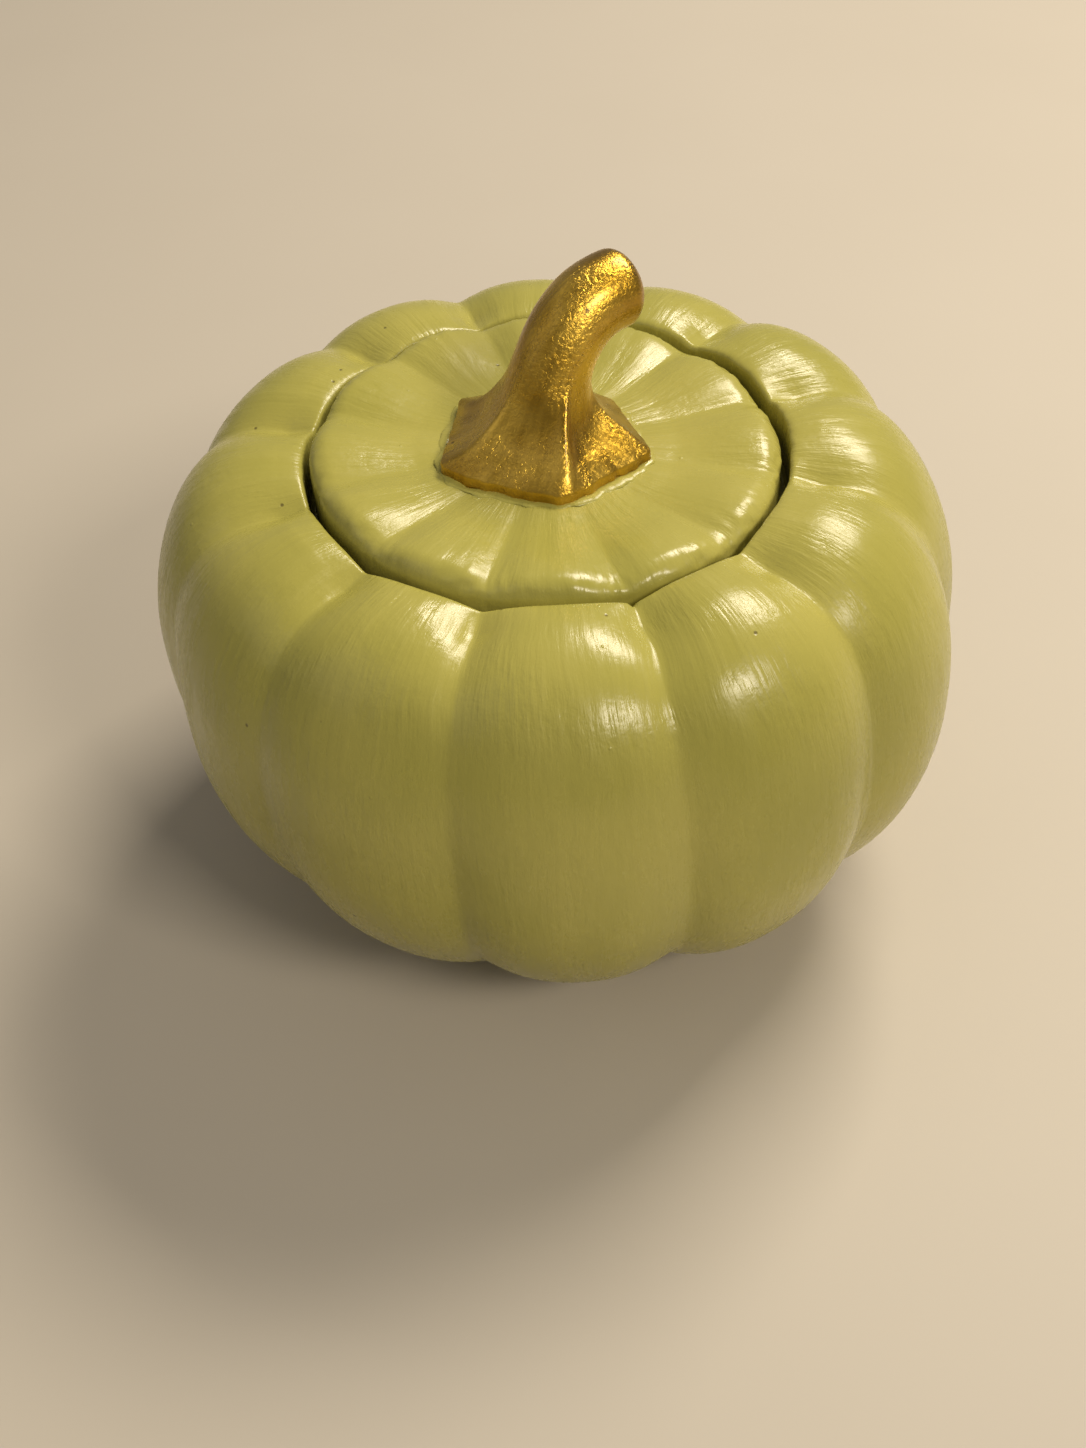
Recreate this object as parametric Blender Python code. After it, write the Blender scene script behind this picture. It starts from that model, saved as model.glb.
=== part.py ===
"""A pumpkin-shaped lidded jar: a ribbed hollow jar, a ribbed drop-in lid, and a stem on the lid for a knob.

Metres, +Z up. The origin is on the surface that the jar stands on, under the middle of its widest ring.
The front faces -Y. Angles round the jar are in degrees from the front towards +X.
"""

import math
from typing import NamedTuple

import bmesh
import bpy
from mathutils import Vector

MM = 0.001

# Ribs, shared by the jar and the lid
RIB_COUNT = 12
RIB_PITCH = 360 / RIB_COUNT
# Degrees that each groove strays from even spacing, counted round from the groove left of the front rib
GROOVE_DRIFT = (-1.3, -0.5, -0.3, -0.2, 1.6, 1.8, 0.8, -0.2, -1.4, 0.1, 0.7, -0.9)
# How far each rib swells past the even shape, from the front rib on: the model was carved by hand
RIB_SWELL = tuple(swell * MM for swell in (0, 0.5, 0.6, 0, 0.5, 0, 0, 0.1, -0.5, 0, -0.9, -0.4))
STEPS_PER_RIB = 6
GROOVE_CROWDING = 0.8  # below 1, the steps crowd towards the grooves
RIB_ROUNDNESS = 2.4  # power of the rib's section: larger is flatter on top with a tighter groove

# Outside of the jar, along the crest of a rib
JAR_RADIUS = 55 * MM
JAR_HEIGHT = 66.4 * MM
WIDEST_HEIGHT = 36.2 * MM
FOOT_RADIUS = 22.7 * MM
SHOULDER_RADIUS = 35.5 * MM
LOWER_POWER = 1.906
UPPER_POWER = 2.279
OUTSIDE_STEPS = 16
SLOPE_STEP = 1  # degrees of the outside's curve, either side, that give its slope
# Depth of a groove at angles of the outside's curve: -90 at the foot, 0 at the widest, 90 at the shoulder
GROOVE_DEPTHS = (
    (-90, 0), (-70, 1.3 * MM), (-46, 2.0 * MM), (0, 2.1 * MM), (46, 1.5 * MM), (90, 2.85 * MM),
)
# The body leans a little, so its foot and its mouth are off the middle
FOOT_SHIFT = Vector((0.6 * MM, -0.5 * MM, 0))
MOUTH_SHIFT = Vector((-0.7 * MM, -0.3 * MM, 0))

# Mouth: a lip, a recess for the lid and the ledge that carries it
LIP_HEIGHT = 65.8 * MM
LIP_GROOVE_DIP = 1.45 * MM
LIP_ROUNDING = 1.0 * MM
LIP_FULLNESS = 0.75  # height of the lip midway to the shoulder, as a share of the rise between them
RECESS_RADIUS = 31.45 * MM
LEDGE_HEIGHT = 58.5 * MM
LEDGE_INNER_RADIUS = 26.5 * MM

# Inside of the jar
CAVITY_RADIUS = 48.0 * MM
CAVITY_TOP = 53.5 * MM
CAVITY_UPPER_POWER = 3.0
FLOOR_THICKNESS = 6.0 * MM
FLOOR_RADIUS = 18.0 * MM
CAVITY_STEPS = 6

# Lid
FIT_GAP = 0.3 * MM  # between the pieces where they rest on each other
LID_RADIUS = 30.45 * MM
LID_TOP = 67.1 * MM
LID_EDGE_ROUNDING = 2.8 * MM
LID_EDGE_STEPS = 4
LID_BOTTOM_BEVEL = 0.6 * MM
LID_SEAT_HEIGHT = 65.7 * MM  # flat middle of the lid, under the stem
LID_SEAT_RADIUS = 16.8 * MM
LID_TOP_STEPS = 4
LID_GROOVE_DEPTH = 1.2 * MM
LID_GROOVE_INSET = 0.4 * MM
LID_LEAN = -0.04  # the lid's top falls by this share of the way towards +X

# Stem
FOOT_CENTRE = Vector((-0.8 * MM, 0, 0))
# Corners of the stem's foot: angle round the jar, distance from the foot's middle, and the power of
# the flare above, which makes the ridge there straight at 1 and more hollow the larger it is
FOOT_CORNERS = (
    (9, 13.8 * MM, 1.3), (72, 14.3 * MM, 2.3), (129.5, 12.1 * MM, 2.1),
    (179, 10.8 * MM, 2.1), (232, 13.7 * MM, 2.1), (295.5, 15.1 * MM, 2.5),
)
# How far each side of the foot bows out, and what it adds to the power, from the first corner's side on
FOOT_BOWS = tuple(bow * MM for bow in (-0.1, 0, 0, 0, -0.2, 0.8))
FOOT_HOLLOWS = (2.4, 0.8, 0.3, 0.3, 0.6, 1.6)
FOOT_SIDE_STEPS = 5
FOOT_EDGE_HEIGHT = 1.6 * MM
FLARE_HEIGHT = 10 * MM
FLARE_POWER = 2.1  # how fast the rings turn from level to square with the centre line
# Handles of the stem's centre line, a Bezier curve that bends to the right and back
STEM_CURVE = (
    Vector((-0.7 * MM, -0.5 * MM, 65.7 * MM)),
    Vector((-1.2 * MM, -1.2 * MM, 76.5 * MM)),
    Vector((2.5 * MM, 2.5 * MM, 83.7 * MM)),
    Vector((8.7 * MM, 6.6 * MM, 83.5 * MM)),
)
UPRIGHT = Vector((0, 0, 1))
STEM_RADIUS = 4.95 * MM
STEM_ROOT_RADIUS = 7.0 * MM
STEM_ROOT_END = 0.55  # share of the centre line over which the root thins to the shaft
STEM_RIDGE = 0.25 * MM
STEM_TWIST = 38  # degrees that the ridges turn from foot to tip
STEM_STEPS = 16
TIP_ROUNDING = 2.6 * MM
TIP_STEPS = 3

# Names of what each point of a section carries through the turning
GROOVE_MOVE = "move at a groove"
SWELL_MOVE = "move per swell"
MERGE_DISTANCE = 0.0001 * MM
TURN_TOLERANCE = 1e-6  # share of a turn that rounding may take from an angle

SHARP_ANGLE = 40  # degrees, above which an edge isn't shaded smooth
SAGE_PAINT = ("sage_paint", (0.40, 0.37, 0.13, 1), 0.0, 0.35)
GOLD_PAINT = ("gold_paint", (0.55, 0.34, 0.06, 1), 0.9, 0.32)


def lerp(a, b, share):
    return a + (b - a) * share


def steps_between(start, end, count):
    """Evenly spaced values after start, up to and with end."""
    return [lerp(start, end, (i + 1) / count) for i in range(count)]


def read_off(table, key):
    """The value at key in a table of (key, value) pairs, straight between them."""
    for (k0, v0), (k1, v1) in zip(table, table[1:]):
        if key <= k1:
            return lerp(v0, v1, (key - k0) / (k1 - k0))
    return table[-1][1]


def flat_direction(azimuth):
    """The level direction at an angle round the jar, in degrees."""
    turn = math.radians(azimuth)
    return Vector((math.sin(turn), -math.cos(turn), 0))


def azimuth_of(point):
    return math.degrees(math.atan2(point.x, -point.y))


def on_rib(azimuth):
    """Where an even angle falls on the uneven ribs: (azimuth, 0 at the crest to 1 at a groove, swell)."""
    turns = (azimuth + RIB_PITCH / 2) / RIB_PITCH
    rib = math.floor(turns + TURN_TOLERANCE)
    across = 2 * (turns - rib) - 1
    place = math.copysign(abs(across) ** GROOVE_CROWDING, across)
    left, right = ((k - 0.5) * RIB_PITCH + GROOVE_DRIFT[k % RIB_COUNT] for k in (rib, rib + 1))
    return lerp(left, right, (place + 1) / 2), min(abs(place), 1), RIB_SWELL[rib % RIB_COUNT]


def curve_point(angle, inner_radius, outer_radius, middle, end, power):
    """A point (radius, height) on a squared-off quarter curve from (outer, middle) to (inner, end)."""
    turn = math.radians(abs(angle))
    out = max(math.cos(turn), 0) ** (2 / power)
    up = math.sin(turn) ** (2 / power)
    return lerp(inner_radius, outer_radius, out), lerp(middle, end, up)


def outside_point(angle):
    """The jar's outside, (radius, height), at an angle of its curve from -90 at the foot to 90."""
    if angle < 0:
        return curve_point(angle, FOOT_RADIUS, JAR_RADIUS, WIDEST_HEIGHT, 0, LOWER_POWER)
    return curve_point(angle, SHOULDER_RADIUS, JAR_RADIUS, WIDEST_HEIGHT, JAR_HEIGHT, UPPER_POWER)


class SectionPoint(NamedTuple):
    """A point of a turned section, and how far it moves at a groove and per metre of its rib's swell."""

    radius: float
    height: float
    groove_out: float = 0
    groove_up: float = 0
    swell_out: float = 0
    swell_up: float = 0


def outside_section():
    """Section of the jar's outside, from the edge of the foot to the shoulder."""
    points = []
    for angle in [-90] + steps_between(-90, 90, OUTSIDE_STEPS):
        r0, z0 = outside_point(max(angle - SLOPE_STEP, -90))
        r1, z1 = outside_point(min(angle + SLOPE_STEP, 90))
        length = math.hypot(r1 - r0, z1 - z0)
        out, up = (z1 - z0) / length, (r0 - r1) / length
        depth = read_off(GROOVE_DEPTHS, angle)
        swell = math.sqrt(max(math.cos(math.radians(angle)), 0))
        moves = (-depth * out, -depth * up, swell * out, swell * up)
        points.append(SectionPoint(*outside_point(angle), *moves))
    return points


def jar_section():
    """The jar's whole section, from the middle of the foot round the outside to the middle of the floor."""
    lip_top = RECESS_RADIUS + LIP_ROUNDING
    lip_mid = LIP_ROUNDING * (1 - math.sqrt(0.5))
    shoulder_dip = GROOVE_DEPTHS[-1][1]
    lip = [
        SectionPoint(
            (SHOULDER_RADIUS + lip_top) / 2, lerp(LIP_HEIGHT, JAR_HEIGHT, LIP_FULLNESS),
            groove_up=-(shoulder_dip + LIP_GROOVE_DIP) / 2,
        ),
        SectionPoint(lip_top, LIP_HEIGHT, groove_up=-LIP_GROOVE_DIP),
        SectionPoint(RECESS_RADIUS + lip_mid, LIP_HEIGHT - lip_mid, groove_up=-LIP_GROOVE_DIP),
        SectionPoint(RECESS_RADIUS, LIP_HEIGHT - LIP_ROUNDING, groove_up=-LIP_GROOVE_DIP),
        SectionPoint(RECESS_RADIUS, LEDGE_HEIGHT),
        SectionPoint(LEDGE_INNER_RADIUS, LEDGE_HEIGHT),
    ]
    upper = [
        curve_point(a, LEDGE_INNER_RADIUS, CAVITY_RADIUS, WIDEST_HEIGHT, CAVITY_TOP, CAVITY_UPPER_POWER)
        for a in [90] + steps_between(90, 0, CAVITY_STEPS)
    ]
    lower = [
        curve_point(a, FLOOR_RADIUS, CAVITY_RADIUS, WIDEST_HEIGHT, FLOOR_THICKNESS, LOWER_POWER)
        for a in steps_between(0, 90, CAVITY_STEPS)
    ]
    cavity = [SectionPoint(radius, height) for radius, height in upper + lower]
    return [SectionPoint(0, 0)] + outside_section() + lip + cavity + [SectionPoint(0, FLOOR_THICKNESS)]


def lid_section():
    """The lid's whole section, from the middle of its underside round the edge to the middle of its top."""
    bottom = LEDGE_HEIGHT + FIT_GAP
    points = [
        SectionPoint(0, bottom),
        SectionPoint(LID_RADIUS - LID_BOTTOM_BEVEL, bottom),
        SectionPoint(LID_RADIUS, bottom + LID_BOTTOM_BEVEL),
    ]
    for angle in [0] + steps_between(0, 90, LID_EDGE_STEPS):
        turn = math.radians(angle)
        radius = LID_RADIUS - LID_EDGE_ROUNDING * (1 - math.cos(turn))
        height = LID_TOP - LID_EDGE_ROUNDING * (1 - math.sin(turn))
        points.append(SectionPoint(radius, height, -LID_GROOVE_INSET, -LID_GROOVE_DEPTH * math.sin(turn)))
    for share in steps_between(1, 0, LID_TOP_STEPS):
        radius = lerp(LID_SEAT_RADIUS, LID_RADIUS - LID_EDGE_ROUNDING, share)
        rise = math.sin(share * math.pi / 2)
        height = lerp(LID_SEAT_HEIGHT, LID_TOP, rise)
        points.append(SectionPoint(radius, height, groove_up=-LID_GROOVE_DEPTH * rise))
    return points + [SectionPoint(0, LID_SEAT_HEIGHT)]


def jar_shift(height):
    """How far the jar's rings at a height sit from the middle."""
    if height < WIDEST_HEIGHT:
        return FOOT_SHIFT * (1 - height / WIDEST_HEIGHT)
    return MOUTH_SHIFT * ((height - WIDEST_HEIGHT) / (JAR_HEIGHT - WIDEST_HEIGHT))


def turned_and_ribbed(section, shift_at):
    """A section turned round the axis and shaped into ribs, each ring shifted as shift_at(height) says."""
    bm = bmesh.new()
    layers = bm.verts.layers.float_vector
    for name in (GROOVE_MOVE, SWELL_MOVE):
        layers.new(name)
    groove, swell = layers[GROOVE_MOVE], layers[SWELL_MOVE]
    chain = []
    for point in section:
        vert = bm.verts.new((0, -point.radius, point.height))
        vert[groove] = (point.groove_out, 0, point.groove_up)
        vert[swell] = (point.swell_out, 0, point.swell_up)
        chain.append(vert)
    edges = [bm.edges.new(pair) for pair in zip(chain, chain[1:])]
    bmesh.ops.spin(
        bm, geom=chain + edges, cent=(0, 0, 0), axis=(0, 0, 1), angle=2 * math.pi,
        steps=RIB_COUNT * STEPS_PER_RIB, use_merge=True,
    )
    bmesh.ops.remove_doubles(bm, verts=bm.verts, dist=MERGE_DISTANCE)
    groove, swell = layers[GROOVE_MOVE], layers[SWELL_MOVE]
    for vert in bm.verts:
        azimuth, across, rib_swell = on_rib(azimuth_of(vert.co))
        deep = across**RIB_ROUNDNESS
        out, _, up = vert[groove] * deep + vert[swell] * rib_swell * (1 - deep)
        middle = shift_at(vert.co.z) + Vector((0, 0, vert.co.z + up))
        radius = math.hypot(vert.co.x, vert.co.y)
        vert.co = middle + flat_direction(azimuth) * (radius + out)
    for name in (GROOVE_MOVE, SWELL_MOVE):
        layers.remove(layers[name])
    return bm


def finished(bm, name, finish):
    """The mesh as an object, with its faces outward, shaded smooth but for its sharp edges, and painted."""
    bmesh.ops.recalc_face_normals(bm, faces=bm.faces)
    mesh = bpy.data.meshes.new(name)
    bm.to_mesh(mesh)
    bm.free()
    mesh.shade_smooth()
    mesh.set_sharp_from_angle(angle=math.radians(SHARP_ANGLE))
    mesh.materials.append(paint(*finish))
    obj = bpy.data.objects.new(name, mesh)
    bpy.context.scene.collection.objects.link(obj)
    return obj


def paint(name, colour, metallic, roughness):
    material = bpy.data.materials.get(name) or bpy.data.materials.new(name)
    material.use_nodes = True
    shader = material.node_tree.nodes["Principled BSDF"]
    shader.inputs["Base Color"].default_value = colour
    shader.inputs["Metallic"].default_value = metallic
    shader.inputs["Roughness"].default_value = roughness
    return material


def make_jar():
    return finished(turned_and_ribbed(jar_section(), jar_shift), "jar", SAGE_PAINT)


def make_lid():
    """The lid, flat below and leaning on top."""
    bm = turned_and_ribbed(lid_section(), lambda height: MOUTH_SHIFT)
    bottom = LEDGE_HEIGHT + FIT_GAP
    for vert in bm.verts:
        share = (vert.co.z - bottom) / (LID_SEAT_HEIGHT - bottom)
        vert.co.z += LID_LEAN * vert.co.x * min(share, 1)
    return finished(bm, "lid", SAGE_PAINT)


class FootPoint(NamedTuple):
    """A point of the foot's outline, 1 on a corner to 0 between corners, and the power of the flare above."""

    azimuth: float
    radius: float
    ridge: float
    power: float


def foot_outline():
    """Points round the stem's cornered foot."""
    outline = []
    for i in range(len(FOOT_CORNERS)):
        corner, following = FOOT_CORNERS[i], FOOT_CORNERS[(i + 1) % len(FOOT_CORNERS)]
        start, end = (flat_direction(azimuth) * radius for azimuth, radius, _ in (corner, following))
        outward = (end - start).cross(UPRIGHT).normalized()
        for k in range(FOOT_SIDE_STEPS):
            share = k / FOOT_SIDE_STEPS
            between = math.sin(math.pi * share)
            point = start.lerp(end, share) + outward * FOOT_BOWS[i] * between
            power = lerp(corner[2], following[2], share) + FOOT_HOLLOWS[i] * between
            outline.append(FootPoint(azimuth_of(point), point.length, abs(2 * share - 1), power))
    return outline


def on_stem(share):
    """The stem's centre line at a share of its length: (point, direction)."""
    nodes = STEM_CURVE
    while len(nodes) > 2:
        nodes = [a.lerp(b, share) for a, b in zip(nodes, nodes[1:])]
    return nodes[0].lerp(nodes[1], share), (nodes[1] - nodes[0]).normalized()


def stem_ring(outline, centre, along, radius, near, share):
    """One ring of the stem: round and square to its centre line above, level and cornered below."""
    tilt = UPRIGHT.rotation_difference(along.lerp(UPRIGHT, near**FLARE_POWER))
    ring = []
    for foot in outline:
        level = flat_direction(foot.azimuth + STEM_TWIST * share)
        flare = (foot.radius - STEM_ROOT_RADIUS) * near**foot.power
        reach = radius + flare + STEM_RIDGE * foot.ridge * (1 - share)
        ring.append(centre + tilt @ level * reach)
    return ring


def stem_rings():
    """All rings of the stem, from the underside of its foot to its tip."""
    outline = foot_outline()
    underside = LID_SEAT_HEIGHT + FIT_GAP
    edge_top = LID_SEAT_HEIGHT + FOOT_EDGE_HEIGHT
    rings = []
    for height in (underside, edge_top):
        ring = [FOOT_CENTRE + flat_direction(p.azimuth) * p.radius + UPRIGHT * height for p in outline]
        rings.append([p + Vector((0, 0, LID_LEAN * p.x)) for p in ring])
    start = FOOT_EDGE_HEIGHT / (STEM_CURVE[-1].z - STEM_CURVE[0].z)
    for share in steps_between(start, 1, STEM_STEPS):
        centre, along = on_stem(share)
        near = max(1 - (centre.z - edge_top) / FLARE_HEIGHT, 0)
        thinning = max(1 - share / STEM_ROOT_END, 0) ** 2
        radius = lerp(STEM_RADIUS, STEM_ROOT_RADIUS, thinning)
        ring = stem_ring(outline, centre, along, radius, near, share)
        rings.append([p + UPRIGHT * LID_LEAN * p.x * near**FLARE_POWER for p in ring])
    centre, along = on_stem(1)
    for angle in steps_between(0, 90, TIP_STEPS):
        turn = math.radians(angle)
        radius = STEM_RADIUS - TIP_ROUNDING * (1 - math.cos(turn))
        middle = centre + along * TIP_ROUNDING * math.sin(turn)
        rings.append(stem_ring(outline, middle, along, radius, 0, 1))
    return rings


def make_stem():
    bm = bmesh.new()
    rings = [[bm.verts.new(point) for point in ring] for ring in stem_rings()]
    loops = [[bm.edges.new((ring[i - 1], ring[i])) for i in range(len(ring))] for ring in rings]
    for lower, upper in zip(loops, loops[1:]):
        bmesh.ops.bridge_loops(bm, edges=lower + upper)
    bm.faces.new(rings[0])
    bm.faces.new(rings[-1])
    return finished(bm, "stem", GOLD_PAINT)


def main():
    for obj in list(bpy.data.objects):
        bpy.data.objects.remove(obj)
    jar = make_jar()
    lid = make_lid()
    stem = make_stem()
    lid.parent = jar
    stem.parent = lid


main()
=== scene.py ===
"""The looks of a hand-painted, pumpkin-shaped lidded jar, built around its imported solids.

Metres, +Z up, in the same frame as the solids. The front faces -Y. Angles round the jar are in degrees
from the front towards +X.
"""

import logging
import math
from dataclasses import dataclass, field
from enum import Enum
from typing import Callable, NamedTuple, Sequence

import bmesh
import bpy
from mathutils import Matrix, Vector, noise


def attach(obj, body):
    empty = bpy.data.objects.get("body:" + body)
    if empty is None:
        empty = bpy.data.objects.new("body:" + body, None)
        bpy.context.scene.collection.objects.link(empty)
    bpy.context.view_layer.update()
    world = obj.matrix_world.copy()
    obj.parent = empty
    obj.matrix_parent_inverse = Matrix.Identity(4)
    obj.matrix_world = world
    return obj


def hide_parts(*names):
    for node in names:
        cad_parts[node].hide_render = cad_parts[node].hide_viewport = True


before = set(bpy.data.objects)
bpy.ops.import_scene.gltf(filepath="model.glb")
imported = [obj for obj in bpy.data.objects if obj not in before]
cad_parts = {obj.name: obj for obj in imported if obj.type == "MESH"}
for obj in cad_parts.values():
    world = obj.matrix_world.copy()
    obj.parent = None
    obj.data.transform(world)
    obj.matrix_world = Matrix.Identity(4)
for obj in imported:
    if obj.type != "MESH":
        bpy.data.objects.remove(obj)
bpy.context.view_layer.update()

MM = 0.001
MERGE_DISTANCE = 0.0001 * MM
TURN_TOLERANCE = 1e-6
SHARP_ANGLE = 40
GROOVE_MOVE = "groove move"
SWELL_MOVE = "swell move"
STROKE = "stroke"
UP = Vector((0, 0, 1))
LOG = logging.getLogger("jar")


def lerp(a: float, b: float, share: float) -> float:
    """The value at a share of the way from a to b."""
    return a + (b - a) * share


def steps_between(start: float, end: float, count: int) -> list[float]:
    """Evenly spaced values after start, up to and with end."""
    return [lerp(start, end, (i + 1) / count) for i in range(count)]


def flat_direction(azimuth: float) -> Vector:
    """The level direction at an angle round the jar, in degrees."""
    turn = math.radians(azimuth)
    return Vector((math.sin(turn), -math.cos(turn), 0))


def azimuth_of(point: Vector) -> float:
    """The angle round the jar of a point, in degrees."""
    return math.degrees(math.atan2(point.x, -point.y))


def turn_between(a: float, b: float) -> float:
    """The signed difference of two angles in degrees, between -180 and 180."""
    return (a - b + 180) % 360 - 180


def hump(distance: float, width: float) -> float:
    """A smooth bump: 1 at no distance, fading over about the width."""
    return math.exp(-((distance / width) ** 2))


def smooth_read(table: Sequence[tuple[float, float]], key: float) -> float:
    """The value at key on a smooth curve through a table.

    Args:
        table: Pairs of (key, value) in rising order of key.
        key: Where the value is wanted.

    Returns:
        The value of the curve, held level past both ends of the table.
    """
    if key <= table[0][0]:
        return table[0][1]
    if key >= table[-1][0]:
        return table[-1][1]
    i = max(j for j in range(len(table) - 1) if table[j][0] <= key)

    def slope(j: int) -> float:
        """The slope at an entry of the table, from its neighbours."""
        (k0, v0), (k1, v1) = table[max(j - 1, 0)], table[min(j + 1, len(table) - 1)]
        return (v1 - v0) / (k1 - k0)

    (k0, v0), (k1, v1) = table[i], table[i + 1]
    span = k1 - k0
    t = (key - k0) / span
    return (
        v0 * (2 * t**3 - 3 * t**2 + 1)
        + slope(i) * span * (t**3 - 2 * t**2 + t)
        + v1 * (3 * t**2 - 2 * t**3)
        + slope(i + 1) * span * (t**3 - t**2)
    )


class Value:
    """A shader socket that carries a number, with arithmetic that adds Math nodes."""

    def __init__(self, graph: "Graph", socket: bpy.types.NodeSocket) -> None:
        """Wraps a socket of a graph."""
        self.graph = graph
        self.socket = socket

    def _math(self, operation: str, *values: object, clamp: bool = False) -> "Value":
        """The result of a Math node.

        Args:
            operation: The node's operation.
            values: Its inputs, numbers or wrapped sockets.
            clamp: Whether the result is kept between 0 and 1.

        Returns:
            The wrapped result.
        """
        settings = {"operation": operation, "use_clamp": clamp}
        node = self.graph.node("ShaderNodeMath", settings, dict(enumerate(values)))
        return Value(self.graph, node.outputs[0])

    def __add__(self, other: object) -> "Value":
        """The sum."""
        return self._math("ADD", self, other)

    def __sub__(self, other: object) -> "Value":
        """The difference."""
        return self._math("SUBTRACT", self, other)

    def __mul__(self, other: object) -> "Value":
        """The product."""
        return self._math("MULTIPLY", self, other)

    def __rsub__(self, other: object) -> "Value":
        """The difference, taken from a number."""
        return self._math("SUBTRACT", other, self)

    __radd__ = __add__
    __rmul__ = __mul__

    def clamped(self) -> "Value":
        """The value kept between 0 and 1."""
        return self._math("ADD", self, 0.0, clamp=True)

    def between(self, low: float, high: float) -> "Value":
        """A smooth step of the value, 0 below low and 1 above high."""
        settings = {"interpolation_type": "SMOOTHSTEP"}
        inputs = {"Value": self, "From Min": low, "From Max": high}
        return Value(self.graph, self.graph.node("ShaderNodeMapRange", settings, inputs).outputs["Result"])


class Graph:
    """The node tree of one material."""

    def __init__(self, name: str) -> None:
        """Starts a material with a Principled shader."""
        self.material = bpy.data.materials.new(name)
        self.material.use_nodes = True
        self.tree = self.material.node_tree
        self.shader = self.tree.nodes["Principled BSDF"]

    def node(self, kind: str, settings: dict | None = None, inputs: dict | None = None) -> bpy.types.Node:
        """Adds a node.

        Args:
            kind: The node's type.
            settings: Its own properties, which are set first.
            inputs: Values or links by the name or number of the socket.

        Returns:
            The new node.
        """
        made = self.tree.nodes.new(kind)
        for name, value in (settings or {}).items():
            setattr(made, name, value)
        for key, value in (inputs or {}).items():
            self.feed(made.inputs[key], value)
        return made

    def feed(self, socket: bpy.types.NodeSocket, value: object) -> None:
        """Links or sets a socket.

        Args:
            socket: The socket that is fed.
            value: A wrapped socket, a socket or a plain value.
        """
        source = value.socket if isinstance(value, Value) else value
        if isinstance(source, bpy.types.NodeSocket):
            self.tree.links.new(source, socket)
        else:
            socket.default_value = source

    def number(self, node: bpy.types.Node, output: str | int = 0) -> Value:
        """A node's output as a wrapped number."""
        return Value(self, node.outputs[output])

    def place(self) -> bpy.types.NodeSocket:
        """The point on the piece, in metres."""
        return self.node("ShaderNodeTexCoord").outputs["Object"]

    def attribute(self, name: str) -> bpy.types.NodeSocket:
        """A vector that the mesh carries."""
        return self.node("ShaderNodeAttribute", {"attribute_name": name}).outputs["Vector"]

    def grain(
        self, vector: bpy.types.NodeSocket, scale: float,
        detail: float = 2.0, rough: float = 0.5, swirl: float = 0.0,
    ) -> Value:
        """A noise pattern.

        Args:
            vector: Where it is read.
            scale: Its cells per unit.
            detail: How many finer layers it has.
            rough: How strong the finer layers are.
            swirl: How much it is swirled.

        Returns:
            The pattern, mostly between 0.2 and 0.8.
        """
        inputs = {
            "Vector": vector, "Scale": scale, "Detail": detail, "Roughness": rough, "Distortion": swirl,
        }
        return self.number(self.node("ShaderNodeTexNoise", None, inputs))

    def vector_math(self, operation: str, *values: object) -> bpy.types.NodeSocket:
        """The vector that a Vector Math node gives."""
        node = self.node("ShaderNodeVectorMath", {"operation": operation}, dict(enumerate(values)))
        return node.outputs[0]

    def blend(self, share: Value, first: object, second: object) -> bpy.types.NodeSocket:
        """A mix of two colours.

        Args:
            share: How much of the second colour shows.
            first: The first colour.
            second: The second colour.

        Returns:
            The mixed colour.
        """
        node = self.node("ShaderNodeMix", {"data_type": "RGBA"})
        self.feed(node.inputs[0], share)
        self.feed(node.inputs[6], first)
        self.feed(node.inputs[7], second)
        return node.outputs[2]

    def bump(self, height: Value, distance: float) -> bpy.types.NodeSocket:
        """The normal of a surface with a relief.

        Args:
            height: The relief, 0 to 1.
            distance: The relief's full height in metres.

        Returns:
            The normal.
        """
        inputs = {"Height": height, "Distance": distance, "Strength": 1.0}
        return self.node("ShaderNodeBump", None, inputs).outputs["Normal"]


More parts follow.
